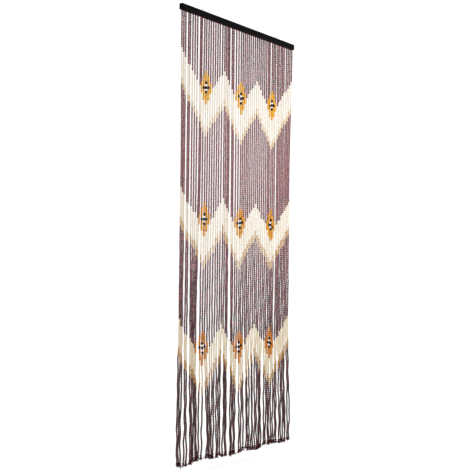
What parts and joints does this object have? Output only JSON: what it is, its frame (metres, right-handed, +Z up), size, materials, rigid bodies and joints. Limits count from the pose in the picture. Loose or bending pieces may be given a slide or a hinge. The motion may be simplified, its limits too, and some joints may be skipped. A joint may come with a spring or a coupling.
{
  "type": "bead door curtain with rail",
  "caption": "Tall door curtain of beaded strings with zigzag bands, hung from a slim black rail that has a screw eye near each end.",
  "frame": {"origin": "where hooks carry the curtain: midway between the two screw eyes, level with the tops of their openings", "axes": "+Z up, along the hanging strings; +X along the rail; the curtain faces -Y and +Y points to the wall or door frame behind it"},
  "size_m": [0.9, 0.0311, 2.0422],
  "materials": {
    "painted_wood": "satin black paint over straight-grained softwood",
    "plated_steel": "zinc-plated wire",
    "maroon_bead": "dyed and lacquered wood",
    "cream_bead": "bleached and lacquered wood",
    "tan_bead": "clear-lacquered light wood",
    "amber_bead": "dyed and lacquered wood",
    "black_bead": "dyed and lacquered wood",
    "white_bead": "painted wood",
    "cord_thread": "twisted waxed thread"
  },
  "bodies": {
    "root": {"rail": "painted_wood", "screw_eye_left": "plated_steel", "screw_eye_right": "plated_steel", "strands": "maroon_bead"}
  },
  "joints": []
}
